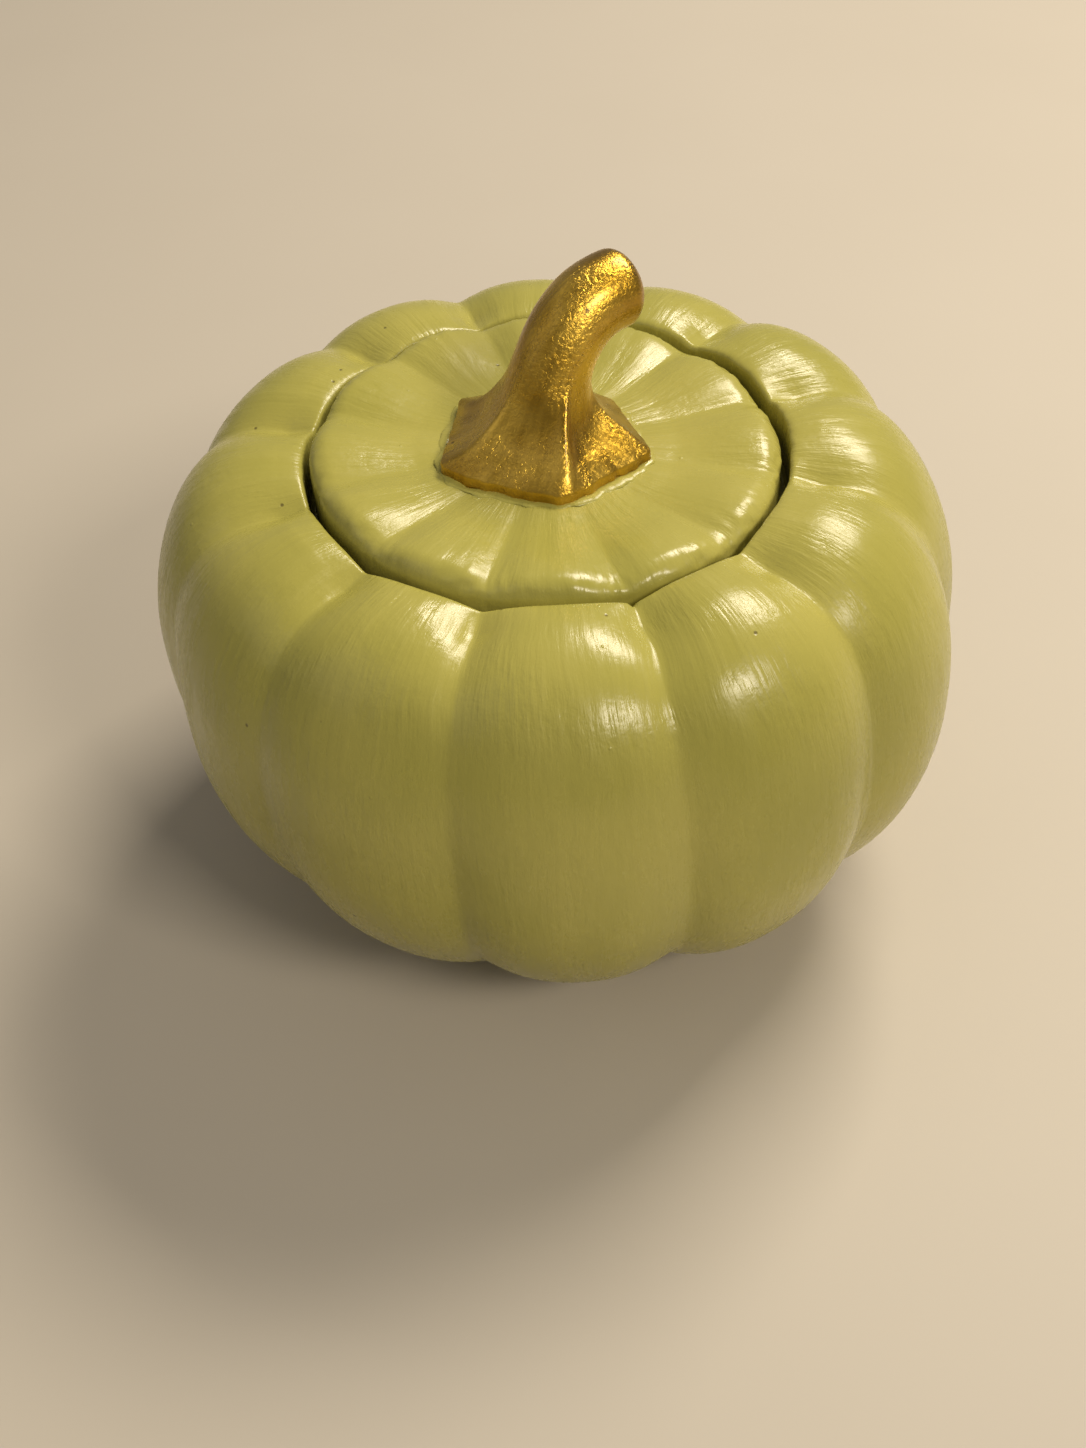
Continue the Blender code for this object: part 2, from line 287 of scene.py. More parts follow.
@dataclass(frozen=True)
class BrushedPaint:
    """What the sage and the gold paint share: strokes in patches, wrinkles, specks and nicks."""

    name: str
    light: tuple[float, float, float, float]
    dark: tuple[float, float, float, float]
    nick_colour: tuple[float, float, float, float]
    metallic: float
    roughness: float
    roughness_swing: float
    stroke_pitch: float
    stroke_length: float
    stroke_height: float
    stroke_tone: float
    wrinkle_size: float
    wrinkle_height: float
    speck_pitch: float
    nick_pitch: float
    patch_size: float = 9 * MM
    patch_floor: float = 0.5
    swirl: float = 0.0
    wander_size: float = 16 * MM
    wander: float = 3.0
    broad_share: float = 0.24
    cloud_size: float = 28 * MM
    speck_height: float = 0.05 * MM
    specular: float = 0.5
    coat: float = 0.0
    coat_roughness: float = 0.22
    layers: float = 3.0
    fineness: float = 0.6
    broad_height: float = 1.5
    nick_share: float = 0.8
    patch_edges: tuple[float, float] = (0.38, 0.6)
    tone_edges: tuple[float, float] = (0.25, 0.75)
    speck_edges: tuple[float, float] = (0.02, 0.06)
    speck_choice: tuple[float, float] = (0.6, 0.65)

    def stroke_place(self, graph: Graph, place: bpy.types.NodeSocket) -> bpy.types.NodeSocket:
        """Where the strokes are read, in stroke widths across and stroke lengths along.

        Args:
            graph: The material that is made.
            place: The point on the piece.

        Returns:
            The vector.
        """
        widths, lengths = 1 / self.stroke_pitch, 1 / self.stroke_length
        straight = graph.vector_math("MULTIPLY", graph.attribute(STROKE), (widths, widths, lengths))
        drift = graph.node("ShaderNodeTexNoise", None, {"Vector": place, "Scale": 1 / self.wander_size})
        return graph.vector_math(
            "ADD", straight, graph.vector_math("MULTIPLY", drift.outputs["Color"], (self.wander,) * 3)
        )

    def build(self) -> bpy.types.Material:
        """The material, with its colour, gloss and relief."""
        graph = Graph(self.name)
        place = graph.place()
        strokes_at = self.stroke_place(graph, place)
        patches = graph.grain(place, 1 / self.patch_size).between(*self.patch_edges)
        shown = patches * (1 - self.patch_floor) + self.patch_floor
        strokes = (graph.grain(strokes_at, 1.0, self.layers, self.fineness) - 0.5) * shown
        broad = graph.grain(strokes_at, self.broad_share) - 0.5
        cloud = graph.grain(place, 1 / self.cloud_size, self.layers)
        wrinkles = graph.grain(place, 1 / self.wrinkle_size, self.layers, self.fineness, self.swirl)
        wrinkles = (wrinkles - 0.5) * shown
        tone = strokes * self.stroke_tone + broad * self.stroke_tone + cloud
        colour = graph.blend(tone.between(*self.tone_edges), self.dark, self.light)
        nicks = self.specks(graph, place, self.nick_pitch)
        nicked = graph.blend(nicks * self.nick_share, colour, self.nick_colour)
        graph.feed(graph.shader.inputs["Base Color"], nicked)
        swing = (strokes + broad + wrinkles) * self.roughness_swing
        graph.feed(graph.shader.inputs["Roughness"], (swing + self.roughness).clamped())
        constants = {
            "Metallic": self.metallic, "Specular IOR Level": self.specular,
            "Coat Weight": self.coat, "Coat Roughness": self.coat_roughness,
        }
        for name, value in constants.items():
            graph.feed(graph.shader.inputs[name], value)
        specks = self.specks(graph, place, self.speck_pitch)
        relief = (
            strokes * self.stroke_height
            + broad * (self.stroke_height * self.broad_height)
            + wrinkles * self.wrinkle_height
            + (specks - nicks) * self.speck_height
        )
        graph.feed(graph.shader.inputs["Normal"], graph.bump(relief * (1 / MM), MM))
        return graph.material

    def specks(self, graph: Graph, place: bpy.types.NodeSocket, pitch: float) -> Value:
        """Small round spots, few and far between.

        Args:
            graph: The material that is made.
            place: The point on the piece.
            pitch: The size of the cells that hold at most one spot each.

        Returns:
            1 on a spot and 0 elsewhere.
        """
        cells = graph.node("ShaderNodeTexVoronoi", None, {"Vector": place, "Scale": 1 / pitch})
        near = 1 - graph.number(cells, "Distance").between(*self.speck_edges)
        chosen = graph.number(graph.node("ShaderNodeSeparateColor", None, {0: cells.outputs["Color"]}))
        return near * chosen.between(*self.speck_choice)


SAGE = BrushedPaint(
    name="sage_brushed_paint",
    light=(0.415, 0.375, 0.088, 1),
    dark=(0.345, 0.318, 0.065, 1),
    nick_colour=(0.10, 0.075, 0.02, 1),
    metallic=0.0,
    roughness=0.26,
    roughness_swing=0.25,
    specular=0.36,
    stroke_pitch=0.85 * MM,
    stroke_length=6 * MM,
    stroke_height=0.12 * MM,
    stroke_tone=0.12,
    wrinkle_size=2.2 * MM,
    wrinkle_height=0.1 * MM,
    speck_pitch=4.5 * MM,
    nick_pitch=5.5 * MM,
)
GOLD = BrushedPaint(
    name="gold_brushed_paint",
    light=(0.74, 0.48, 0.07, 1),
    dark=(0.37, 0.205, 0.010, 1),
    nick_colour=(0.12, 0.06, 0.01, 1),
    metallic=0.95,
    roughness=0.32,
    roughness_swing=0.25,
    stroke_pitch=0.3 * MM,
    stroke_length=3.5 * MM,
    stroke_height=0.04 * MM,
    stroke_tone=0.25,
    wrinkle_size=0.6 * MM,
    wrinkle_height=0.2 * MM,
    swirl=0.6,
    coat=0.35,
    speck_pitch=2.0 * MM,
    nick_pitch=6 * MM,
    patch_size=5 * MM,
    cloud_size=9 * MM,
)


@dataclass(frozen=True)
class StudioFinish:
    """The plain pale floor."""

    name: str = "pale_floor"
    colour: tuple[float, float, float, float] = (0.52, 0.47, 0.40, 1)
    shade: tuple[float, float, float, float] = (0.49, 0.44, 0.37, 1)
    mottle_scale: float = 12.0
    mottle_layers: float = 3.0
    roughness: float = 0.6

    def build(self) -> bpy.types.Material:
        """The material."""
        graph = Graph(self.name)
        mottle = graph.grain(graph.place(), self.mottle_scale, self.mottle_layers)
        graph.feed(graph.shader.inputs["Base Color"], graph.blend(mottle, self.colour, self.shade))
        graph.feed(graph.shader.inputs["Roughness"], self.roughness)
        return graph.material


class Slot(Enum):
    """The record's finishes."""

    SAGE = "sage_paint"
    GOLD = "gold_paint"


def finished(bm: bmesh.types.BMesh, name: str, material: bpy.types.Material) -> bpy.types.Object:
    """A mesh as a piece of the object, smooth but for its sharp edges.

    Args:
        bm: The mesh, which is used up.
        name: The piece's name.
        material: Its material.

    Returns:
        The piece, riding on the object's one body.
    """
    bmesh.ops.recalc_face_normals(bm, faces=bm.faces)
    mesh = bpy.data.meshes.new(name)
    bm.to_mesh(mesh)
    bm.free()
    mesh.shade_smooth()
    mesh.set_sharp_from_angle(angle=math.radians(SHARP_ANGLE))
    mesh.materials.append(material)
    piece = bpy.data.objects.new(name, mesh)
    bpy.context.scene.collection.objects.link(piece)
    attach(piece, "root")
    return piece


class SectionPoint(NamedTuple):
    """A point of a turned section, and how far it moves at a groove and per metre of its rib's swell."""

    radius: float
    height: float
    groove_out: float = 0
    groove_up: float = 0
    swell_out: float = 0
    swell_up: float = 0


@dataclass(frozen=True)
class Ribs:
    """The ribs that the jar and the lid share."""

    count: int = 12
    drift: tuple[float, ...] = (-1.3, -0.5, -0.3, -0.2, 1.6, 1.8, 0.8, -0.2, -1.4, 0.1, 0.7, -0.9)
    swell: tuple[float, ...] = (0, 0.5, 0.6, 0, 0.5, 0, 0, 0.1, -0.5, 0, -0.9, -0.4)
    steps: int = 32
    crowding: float = 1.45
    roundness: float = 2.4
    groove_softness: float = 0.06

    @property
    def pitch(self) -> float:
        """Degrees from one rib to the next."""
        return 360 / self.count

    def groove_azimuth(self, index: int) -> float:
        """The angle of a groove, counted from the one left of the front rib."""
        return (index - 0.5) * self.pitch + self.drift[index % self.count]

    def place(self, azimuth: float) -> tuple[float, float, float]:
        """Where an even angle falls on the uneven ribs.

        Args:
            azimuth: The even angle, in degrees.

        Returns:
            The true angle, how deep in the groove it is from 0 to 1, and the rib's swell in metres.
        """
        turns = (azimuth + self.pitch / 2) / self.pitch
        rib = math.floor(turns + TURN_TOLERANCE)
        across = min(max(2 * (turns - rib) - 1, -1), 1)
        spread = math.copysign(1 - (1 - abs(across)) ** self.crowding, across)
        true = lerp(self.groove_azimuth(rib), self.groove_azimuth(rib + 1), (spread + 1) / 2)
        near = math.hypot(1 - abs(spread), self.groove_softness)
        deep = (max(1 - near, 0) / (1 - self.groove_softness)) ** self.roundness
        return true, deep, self.swell[rib % self.count] * MM


@dataclass
class RibbedShell:
    """A closed turned shape with ribs, which the jar and the lid are."""

    ribs: Ribs = field(default_factory=Ribs)
    stroke_radius: float = 50 * MM

    def turned(
        self,
        section: Sequence[SectionPoint],
        shift_at: Callable[[float], Vector],
        touch: Callable[[Vector, float, float], Vector],
    ) -> bmesh.types.BMesh:
        """Turns a section round the axis and shapes it into ribs.

        Args:
            section: The section, from axis to axis.
            shift_at: How far a ring at a height sits from the middle.
            touch: Hand-made unevenness: the move of a point at its angle and depth in a groove.

        Returns:
            The closed mesh. Each point carries its direction from the axis and its way along the section.
        """
        bm = bmesh.new()
        moves = bm.verts.layers.float_vector
        for name in (GROOVE_MOVE, SWELL_MOVE, STROKE):
            moves.new(name)
        chain, along, last = [], 0.0, section[0]
        for point in section:
            along += math.hypot(point.radius - last.radius, point.height - last.height)
            last = point
            vert = bm.verts.new((0, -point.radius, point.height))
            vert[moves[GROOVE_MOVE]] = (point.groove_out, 0, point.groove_up)
            vert[moves[SWELL_MOVE]] = (point.swell_out, 0, point.swell_up)
            vert[moves[STROKE]] = (0, 0, along)
            chain.append(vert)
        edges = [bm.edges.new(pair) for pair in zip(chain, chain[1:])]
        bmesh.ops.spin(
            bm, geom=chain + edges, cent=(0, 0, 0), axis=(0, 0, 1), angle=2 * math.pi,
            steps=self.ribs.count * self.ribs.steps, use_merge=True,
        )
        bmesh.ops.remove_doubles(bm, verts=bm.verts, dist=MERGE_DISTANCE)
        groove_move, swell_move, stroke = moves[GROOVE_MOVE], moves[SWELL_MOVE], moves[STROKE]
        for vert in bm.verts:
            azimuth, deep, swell = self.ribs.place(azimuth_of(vert.co))
            out, _, up = vert[groove_move] * deep + vert[swell_move] * swell * (1 - deep)
            middle = shift_at(vert.co.z) + Vector((0, 0, vert.co.z + up))
            radius = math.hypot(vert.co.x, vert.co.y)
            out_there = flat_direction(azimuth)
            point = middle + out_there * (radius + out)
            vert[stroke] = out_there * self.stroke_radius + UP * vert[stroke].z
            vert.co = point + touch(point, azimuth, deep)
        for name in (GROOVE_MOVE, SWELL_MOVE):
            moves.remove(moves[name])
        return bm


@dataclass
class JarBody(RibbedShell):
    """The hollow body with its lip, recess and ledge."""

    radius: float = 55 * MM
    height: float = 66.4 * MM
    widest: float = 36.2 * MM
    foot_radius: float = 22.7 * MM
    shoulder_radius: float = 35.5 * MM
    lower_power: float = 1.906
    upper_power: float = 2.279
    outside_steps: int = 84
    slope_step: float = 1
    groove_depths: tuple[tuple[float, float], ...] = (
        (-90, 0), (-70, 1.3 * MM), (-46, 2.0 * MM), (0, 2.1 * MM), (46, 1.5 * MM), (90, 2.85 * MM),
    )
    foot_shift: Vector = field(default_factory=lambda: Vector((0.6 * MM, -0.5 * MM, 0)))
    mouth_shift: Vector = field(default_factory=lambda: Vector((-0.7 * MM, -0.3 * MM, 0)))
    lip_dip: float = 1.45 * MM
    lip_dip_rate: float = 1.6
    lip_reach: float = 0.28
    lip_drops: tuple[float, float] = (0.25 * MM, 0.4 * MM)
    recess_radius: float = 31.45 * MM
    recess_top: float = 65.1 * MM
    lip_steps: int = 14
    ledge_height: float = 58.5 * MM
    ledge_radius: float = 26.5 * MM
    edge_softness: float = 0.4 * MM
    cavity_radius: float = 48 * MM
    cavity_top: float = 53.5 * MM
    cavity_power: float = 3.0
    floor_thickness: float = 6 * MM
    floor_radius: float = 18 * MM
    cavity_steps: int = 14
    waviness: float = 0.16 * MM
    wave_size: float = 17 * MM
    foot_reach: float = 10 * MM
    groove_calm: float = 0.5
    notch_groove: int = 1
    notch_turn: float = 0.6
    notch_width: float = 0.9
    notch_depth: float = 0.5 * MM
    notch_reach: float = 1.6 * MM
    stray: float = 1.7 * MM
    stray_width: float = 9
    stray_reach: float = 3 * MM
    lip_unevenness: float = 0.16 * MM
    lip_waves: float = 0.35
    lip_wave_size: float = 2 * MM
    lip_seed: float = 3.0

    def curve_point(
        self, angle: float, inner: float, outer: float, end: float, power: float
    ) -> tuple[float, float]:
        """A point on a squared-off quarter curve from the widest line to an end.

        Args:
            angle: 0 at the widest line to 90 at the end, in degrees.
            inner: The radius at the end.
            outer: The radius at the widest line.
            end: The height of the end.
            power: How square the curve is.

        Returns:
            The radius and height.
        """
        turn = math.radians(abs(angle))
        out = max(math.cos(turn), 0) ** (2 / power)
        up = math.sin(turn) ** (2 / power)
        return lerp(inner, outer, out), lerp(self.widest, end, up)

    def outside_point(self, angle: float) -> tuple[float, float]:
        """The outside's radius and height at an angle of its curve, -90 at the foot to 90."""
        if angle < 0:
            return self.curve_point(angle, self.foot_radius, self.radius, 0, self.lower_power)
        return self.curve_point(angle, self.shoulder_radius, self.radius, self.height, self.upper_power)

    def outside(self) -> list[SectionPoint]:
        """The section from the edge of the foot to the shoulder."""
        points = []
        for angle in [-90] + steps_between(-90, 90, self.outside_steps):
            r0, z0 = self.outside_point(max(angle - self.slope_step, -90))
            r1, z1 = self.outside_point(min(angle + self.slope_step, 90))
            length = math.hypot(r1 - r0, z1 - z0)
            out, up = (z1 - z0) / length, (r0 - r1) / length
            depth = smooth_read(self.groove_depths, angle)
            swell = math.sqrt(max(math.cos(math.radians(angle)), 0))
            moves = (-depth * out, -depth * up, swell * out, swell * up)
            points.append(SectionPoint(*self.outside_point(angle), *moves))
        return points

    def lip(self) -> list[SectionPoint]:
        """The section from the shoulder over the rounded lip, down the recess and in over the ledge."""
        outer_drop, inner_drop = self.lip_drops
        between = lerp(self.recess_radius, self.shoulder_radius, self.lip_reach)
        controls = [
            Vector((self.shoulder_radius, self.height)),
            Vector((between, self.height - outer_drop)),
            Vector((self.recess_radius, self.height - inner_drop)),
            Vector((self.recess_radius, self.recess_top)),
        ]
        shoulder_dip = self.groove_depths[-1][1]
        points = []
        for share in steps_between(0, 1, self.lip_steps):
            nodes = controls
            while len(nodes) > 1:
                nodes = [a.lerp(b, share) for a, b in zip(nodes, nodes[1:])]
            dip = lerp(shoulder_dip, self.lip_dip, min(share * self.lip_dip_rate, 1))
            points.append(SectionPoint(nodes[0].x, nodes[0].y, groove_up=-dip))
        soft = self.edge_softness
        return points + [
            SectionPoint(self.recess_radius, self.ledge_height + 2 * soft),
            SectionPoint(self.recess_radius, self.ledge_height + soft),
            SectionPoint(self.recess_radius - soft, self.ledge_height),
            SectionPoint(self.ledge_radius + soft, self.ledge_height),
            SectionPoint(self.ledge_radius, self.ledge_height - soft),
        ]

    def cavity(self) -> list[SectionPoint]:
        """The section of the hollow, from under the ledge to the edge of its floor."""
        upper = [
            self.curve_point(a, self.ledge_radius, self.cavity_radius, self.cavity_top, self.cavity_power)
            for a in [90] + steps_between(90, 0, self.cavity_steps)
        ]
        lower = [
            self.curve_point(a, self.floor_radius, self.cavity_radius, self.floor_thickness, self.lower_power)
            for a in steps_between(0, 90, self.cavity_steps)
        ]
        return [SectionPoint(radius, height) for radius, height in upper + lower]

    def section(self) -> list[SectionPoint]:
        """The whole section, from the middle of the foot to the middle of the floor."""
        foot, floor = SectionPoint(0, 0), SectionPoint(0, self.floor_thickness)
        return [foot, *self.outside(), *self.lip(), *self.cavity(), floor]

    def shift_at(self, height: float) -> Vector:
        """How far the rings at a height sit from the middle."""
        if height < self.widest:
            return self.foot_shift * (1 - height / self.widest)
        return self.mouth_shift * ((height - self.widest) / (self.height - self.widest))

    def touch(self, point: Vector, azimuth: float, deep: float) -> Vector:
        """The unevenness of the carved and painted body.

        Args:
            point: A point of the even body.
            azimuth: Its angle round the jar.
            deep: Its depth in a groove.

        Returns:
            How far it moves.
        """
        above_foot = min(point.z / self.foot_reach, 1)
        level = Vector((point.x, point.y, 0)).normalized()
        wave = noise.noise(point / self.wave_size) * self.waviness * above_foot
        move = level * (wave * (1 - self.groove_calm * deep))
        lip = hump(point.z - self.recess_top, self.notch_reach)
        lip *= hump(point.xy.length - self.recess_radius, self.notch_reach)
        turn = turn_between(azimuth, self.ribs.groove_azimuth(self.notch_groove))
        notch = hump(turn + self.notch_turn, self.notch_width) * lip * self.notch_depth
        stray = hump(turn, self.stray_width) * hump(point.z - self.height, self.stray_reach) * self.stray
        along_lip = Vector((azimuth * self.lip_waves, point.z / self.lip_wave_size, self.lip_seed))
        uneven = noise.noise(along_lip) * self.lip_unevenness * lip
        raised = max(-point.z, 0)
        return move + level * (notch + uneven) + UP.cross(level) * stray + UP * (raised - notch + uneven)

    def build(self, paint: bpy.types.Material) -> bpy.types.Object:
        """The body as a piece.

        Args:
            paint: Its paint.

        Returns:
            The piece, in place of its solid.
        """
        bm = self.turned(self.section(), self.shift_at, self.touch)
        piece = finished(bm, "jar_body", paint)
        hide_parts("jar")
        return piece


@dataclass
class DropInLid(RibbedShell):
    """The lid, with soft ribs, a rounded edge and brushed ridges of paint along it."""

    radius: float = 30.45 * MM
    top: float = 67.1 * MM
    bottom: float = 58.8 * MM
    rounding: float = 2.8 * MM
    edge_steps: int = 12
    side_steps: int = 10
    bevel: float = 0.6 * MM
    seat: float = 65.7 * MM
    seat_radius: float = 16.8 * MM
    middle_radius: float = 9.0 * MM
    top_steps: int = 26
    seat_steps: int = 14
    groove_depth: float = 1.2 * MM
    seat_groove_depth: float = 0.3 * MM
    groove_inset: float = 0.4 * MM
    lean: float = -0.04
    shift: Vector = field(default_factory=lambda: Vector((-0.7 * MM, -0.3 * MM, 0)))
    waviness: float = 0.2 * MM
    wave_size: float = 6.5 * MM
    groove_calm: float = 0.4
    ridge_height: float = 0.2 * MM
    ridge_inset: float = 1.3 * MM
    ridge_reach: float = 2.1 * MM
    ridge_waves: float = 0.5
    ridge_wave_size: float = 1.1 * MM
    ridge_seed: float = 7.0
    patch_waves: float = 0.07
    patch_seeds: tuple[float, float] = (3.0, 1.0)
    patch_least: float = 0.35
    patch_bias: float = 0.25
    patch_gain: float = 1.6
    top_easing: float = 1.4
    stroke_radius: float = 26 * MM

    def section(self) -> list[SectionPoint]:
        """The whole section, from the middle of the underside round the edge to the middle of the top."""
        points = [SectionPoint(0, self.bottom)]
        points.append(SectionPoint(self.radius - self.bevel, self.bottom))
        side_top = self.top - self.rounding
        for height in [self.bottom + self.bevel] + steps_between(
            self.bottom + self.bevel, side_top, self.side_steps
        ):
            inset = self.groove_inset * (height - self.bottom) / (side_top - self.bottom)
            points.append(SectionPoint(self.radius, height, -inset))
        for angle in steps_between(0, 90, self.edge_steps):
            turn = math.radians(angle)
            radius = self.radius - self.rounding * (1 - math.cos(turn))
            height = self.top - self.rounding * (1 - math.sin(turn))
            dip = self.groove_depth * math.sin(turn)
            points.append(SectionPoint(radius, height, -self.groove_inset, -dip))
        for share in steps_between(1, 0, self.top_steps):
            radius = lerp(self.seat_radius, self.radius - self.rounding, share)
            rise = math.sin(share**self.top_easing * math.pi / 2)
            height = lerp(self.seat, self.top, rise)
            dip = lerp(self.seat_groove_depth, self.groove_depth, rise)
            points.append(SectionPoint(radius, height, -self.groove_inset * rise, -dip))
        for share in steps_between(1, 0, self.seat_steps):
            radius = lerp(self.middle_radius, self.seat_radius, share)
            points.append(SectionPoint(radius, self.seat, 0, -self.seat_groove_depth * share))
        return points + [SectionPoint(0, self.seat)]

    def touch(self, point: Vector, azimuth: float, deep: float) -> Vector:
        """The lean of the top, and the unevenness of its ribs and edge.

        Args:
            point: A point of the even lid.
            azimuth: Its angle round the jar.
            deep: Its depth in a groove.

        Returns:
            How far it moves.
        """
        share = min((point.z - self.bottom) / (self.seat - self.bottom), 1)
        outer = min(max((point.xy.length - self.seat_radius) / (self.radius - self.seat_radius), 0), 1)
        wave = noise.noise(point / self.wave_size) * self.waviness * share
        wave *= 1 - self.groove_calm * deep
        edge = hump(point.xy.length - self.radius + self.ridge_inset, self.ridge_reach) * share
        patch = noise.noise(Vector((azimuth * self.patch_waves, *self.patch_seeds))) + self.patch_bias
        patch = self.patch_least + max(patch, 0) * self.patch_gain
        along_edge = (azimuth * self.ridge_waves, point.z / self.ridge_wave_size, self.ridge_seed)
        ridge = noise.noise(Vector(along_edge))
        ridge *= self.ridge_height * edge * patch
        level = Vector((point.x, point.y, 0)).normalized()
        return level * (wave * outer + ridge) + UP * (self.lean * point.x * share + wave * outer + ridge)

    def build(self, paint: bpy.types.Material) -> bpy.types.Object:
        """The lid as a piece.

        Args:
            paint: Its paint.

        Returns:
            The piece, in place of its solid.
        """
        bm = self.turned(self.section(), lambda height: self.shift, self.touch)
        piece = finished(bm, "lid_body", paint)
        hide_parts("lid")
        return piece


class FootPoint(NamedTuple):
    """A point of the foot's outline, 1 on a corner to 0 between, and the power of the flare above it."""

    azimuth: float
    radius: float
    ridge: float
    power: float


@dataclass
class CurvedStem:
    """The gold stem with its cornered foot, and the bead of sage paint round it."""

    foot_centre: Vector = field(default_factory=lambda: Vector((-0.8 * MM, 0, 0)))
    corners: tuple[tuple[float, float, float], ...] = (
        (9, 13.8 * MM, 1.3), (72, 14.3 * MM, 2.3), (129.5, 12.1 * MM, 2.1),
        (179, 10.8 * MM, 2.1), (232, 13.7 * MM, 2.1), (295.5, 15.1 * MM, 2.5),
    )
    hollows: tuple[float, ...] = (3.4, 0.8, 0.3, 0.3, 0.6, 1.8)
    bulges: tuple[float, ...] = (-0.1 * MM, 0, 0, 0, -0.2 * MM, 0.8 * MM)
    side_steps: int = 28
    corner_rounding: int = 2
    seat: float = 65.7 * MM
    sunk: float = 0.5 * MM
    edge_height: float = 1.6 * MM
    edge_softness: float = 0.35 * MM
    edge_waviness: float = 0.55 * MM
    edge_wave_size: float = 1.5 * MM
    ripple_fade: float = 0.6
    side_start: float = 0.2 * MM
    side_shares: tuple[float, ...] = (0.4, 0.7, 1.0)
    side_inset: float = 0.1
    edge_inset: float = 0.4
    edge_drop: float = 0.3
    flare_height: float = 10 * MM
    flare_power: float = 2.1
    curve: tuple[tuple[float, float, float], ...] = (
        (-0.7 * MM, -0.5 * MM, 65.7 * MM), (-1.2 * MM, -1.2 * MM, 76.5 * MM),
        (2.5 * MM, 2.5 * MM, 83.7 * MM), (8.7 * MM, 6.6 * MM, 83.5 * MM),
    )
    radius: float = 4.95 * MM
    root_radius: float = 7.0 * MM
    root_end: float = 0.55
    ridge: float = 0.25 * MM
    twist: float = 38
    steps: int = 96
    tip_inset: float = 3.6 * MM
    tip_length: float = 2.6 * MM
    tip_steps: int = 16
    waviness: float = 0.1 * MM
    wave_size: float = 4.5 * MM
    lean: float = -0.04
    bead_radius: float = 0.3 * MM
    bead_least: float = 0.12 * MM
    bead_offset: float = 0.35 * MM
    bead_sunk: float = 0.08 * MM
    bead_flatness: float = 3.2
    bead_rounding: int = 7
    bead_sides: int = 16
    bead_mean: float = 0.8
    bead_swing: float = 0.9
    bead_waves: float = 4.5
    bead_seed: tuple[float, float, float] = (3, 1, 2)

    def outline(self) -> list[FootPoint]:
        """Points round the foot."""
        points = []
        for i in range(len(self.corners)):
            corner, following = self.corners[i], self.corners[(i + 1) % len(self.corners)]
            start, end = (flat_direction(azimuth) * radius for azimuth, radius, _ in (corner, following))
            square = (end - start).cross(UP).normalized()
            for k in range(self.side_steps):
                share = k / self.side_steps
                between = math.sin(math.pi * share)
                point = start.lerp(end, share) + square * self.bulges[i] * between
                power = lerp(corner[2], following[2], share) + self.hollows[i] * between
                points.append(FootPoint(azimuth_of(point), point.length, abs(2 * share - 1), power))
        return [self.rounded(points, i) for i in range(len(points))]

    def rounded(self, points: list[FootPoint], index: int) -> FootPoint:
        """A point of the outline, evened out with its neighbours so that the ridges are rounded."""
        around = range(index - self.corner_rounding, index + self.corner_rounding + 1)
        near = [points[k % len(points)] for k in around]
        radius, ridge, power = (sum(values) / len(near) for values in list(zip(*near))[1:])
        return FootPoint(points[index].azimuth, radius, ridge, power)

    def on_curve(self, share: float) -> tuple[Vector, Vector]:
        """The point and the direction of the centre line at a share of its length."""
        nodes = [Vector(point) for point in self.curve]
        while len(nodes) > 2:
            nodes = [a.lerp(b, share) for a, b in zip(nodes, nodes[1:])]
        return nodes[0].lerp(nodes[1], share), (nodes[1] - nodes[0]).normalized()

    def ring(
        self, outline: list[FootPoint], centre: Vector, along: Vector,
        radius: float, near: float, share: float,
    ) -> list[Vector]:
        """One ring of the stem, square to its centre line.

        Args:
            outline: The foot's outline.
            centre: The ring's middle.
            along: The centre line's direction.
            radius: The shaft's radius there.
            near: How near the ring is to the foot, 0 to 1.
            share: The share of the stem's length.

        Returns:
            The ring's points.
        """
        tilt = UP.rotation_difference(along.lerp(UP, near**self.flare_power))
        points = []
        for foot in outline:
            level = flat_direction(foot.azimuth + self.twist * share)
            flare = (foot.radius - self.root_radius) * near**foot.power
            reach = radius + flare + self.ridge * foot.ridge * (1 - share) ** 2
            points.append(centre + tilt @ level * reach)
        return points

    def ripple(self, azimuth: float, radius: float) -> float:
        """How far the uneven paint line of the foot strays outwards at an angle and a distance."""
        return noise.noise(flat_direction(azimuth) * radius / self.edge_wave_size) * self.edge_waviness

    def foot_ring(self, outline: list[FootPoint], inset: float, height: float) -> list[Vector]:
        """A ring of the foot's side.

        Args:
            outline: The foot's outline.
            inset: How far the ring is drawn in.
            height: Its height where the lid's top crosses the axis.

        Returns:
            The ring's points.
        """
        rippled = 1 - self.ripple_fade * max(height - self.seat, 0) / self.edge_height
        points = []
        for foot in outline:
            reach = foot.radius - inset + self.ripple(foot.azimuth, foot.radius) * rippled
            point = self.foot_centre + flat_direction(foot.azimuth) * reach
            points.append(point + UP * (height + self.lean * point.x))
        return points

